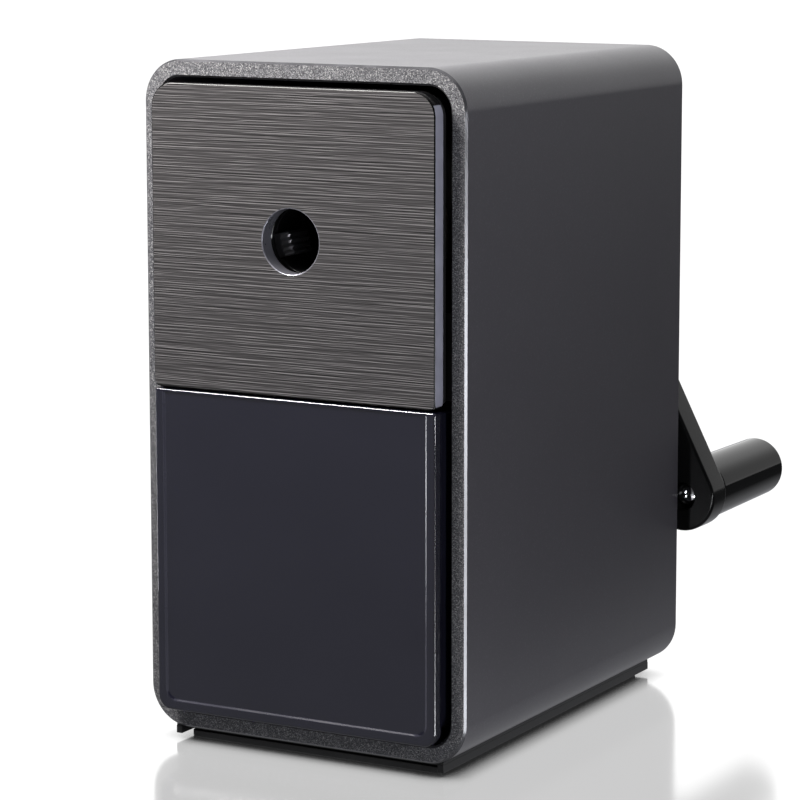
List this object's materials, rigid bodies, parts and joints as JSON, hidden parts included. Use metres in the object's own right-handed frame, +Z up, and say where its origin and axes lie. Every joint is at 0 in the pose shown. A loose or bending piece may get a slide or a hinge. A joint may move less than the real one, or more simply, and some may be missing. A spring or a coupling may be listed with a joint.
{
  "type": "crank pencil sharpener",
  "caption": "Desk-top pencil sharpener: rounded upright sleeve, brushed front plate with the pencil hole, pull-out shavings drawer and a rear crank.",
  "frame": {"origin": "centre of the foot pad's underside, at table level under the centre of the sleeve", "axes": "+Z up; the front with the pencil hole and drawer faces -Y, the crank is at +Y; +X to the right seen from the front"},
  "size_m": [0.0664, 0.1229, 0.115],
  "materials": {
    "gunmetal_paint": "fine-grained matt metallic paint",
    "brushed_plate": "dark horizontal hairline with polished edges",
    "smoke_plastic": "smoky translucent moulding",
    "black_plastic": "satin black moulding",
    "gloss_black": "glossy black moulding",
    "black_rubber": "matt",
    "steel": "machined",
    "chrome": "polished",
    "brass": "turned",
    "white_nylon": "natural nylon"
  },
  "bodies": {
    "case": {"outer_sleeve": "gunmetal_paint", "front_plate": "brushed_plate", "front_frame": "black_plastic", "entry_ring": "black_plastic", "chassis": "black_plastic", "rear_cover": "black_plastic", "base_tray": "black_plastic", "foot_pad": "black_rubber", "jaw_housing": "black_plastic", "guide_tube": "black_plastic", "ring_gear": "white_nylon", "ring_gear_screw_1": "steel", "ring_gear_screw_2": "steel", "shaft_bushing": "brass", "rear_cover_screw_1": "steel", "rear_cover_screw_2": "steel", "rear_cover_screw_3": "steel", "rear_cover_screw_4": "steel", "base_screw_1": "steel", "base_screw_2": "steel", "base_screw_3": "steel", "base_screw_4": "steel", "jaw_spring_top": "steel", "jaw_spring_left": "steel", "jaw_spring_right": "steel"},
    "drawer": {"shavings_drawer": "smoke_plastic"},
    "crank": {"cutter_carrier": "white_nylon", "cutter_axle": "steel", "drive_shaft": "steel", "shaft_clip": "steel", "crank_arm": "black_plastic", "crank_screw": "steel", "knob_axle": "chrome"},
    "cutter": {"helical_cutter": "steel", "cutter_pinion": "steel"},
    "handle": {"knob": "gloss_black"},
    "jaw_top": {"grip_jaw_top": "black_plastic"},
    "jaw_left": {"grip_jaw_left": "black_plastic"},
    "jaw_right": {"grip_jaw_right": "black_plastic"}
  },
  "joints": [
    {"name": "drawer_slide", "type": "slide", "parent": "case", "child": "drawer", "axis": [0, -1, 0], "range_m": [0, 0.06]},
    {"name": "crank_turn", "type": "hinge", "parent": "case", "child": "crank", "pos_m": [0, 0.04075, 0.0865], "axis": [0, 1, 0], "continuous": true},
    {"name": "cutter_spin", "type": "hinge", "parent": "crank", "child": "cutter", "pos_m": [0, 0.04065, 0.0865], "axis": [0, 0.9816, -0.1908], "continuous": true},
    {"name": "knob_spin", "type": "hinge", "parent": "crank", "child": "handle", "pos_m": [0.02977, 0.05925, 0.03257], "axis": [0, 1, 0], "continuous": true},
    {"name": "jaw_top_slide", "type": "slide", "parent": "case", "child": "jaw_top", "axis": [0.2588, 0, 0.9659], "range_m": [0, 0.0012], "stiffness_N_per_m": 400, "springref_m": -0.002, "deforming": ["jaw_spring_top"]},
    {"name": "jaw_left_slide", "type": "slide", "parent": "case", "child": "jaw_left", "axis": [-0.9659, 0, -0.2588], "range_m": [0, 0.0012], "stiffness_N_per_m": 400, "springref_m": -0.002, "deforming": ["jaw_spring_left"]},
    {"name": "jaw_right_slide", "type": "slide", "parent": "case", "child": "jaw_right", "axis": [0.7071, 0, -0.7071], "range_m": [0, 0.0012], "stiffness_N_per_m": 400, "springref_m": -0.002, "deforming": ["jaw_spring_right"]}
  ],
  "couplings": [
    {"joint": "cutter_spin", "follows": "crank_turn", "ratio": -3.3333}
  ]
}
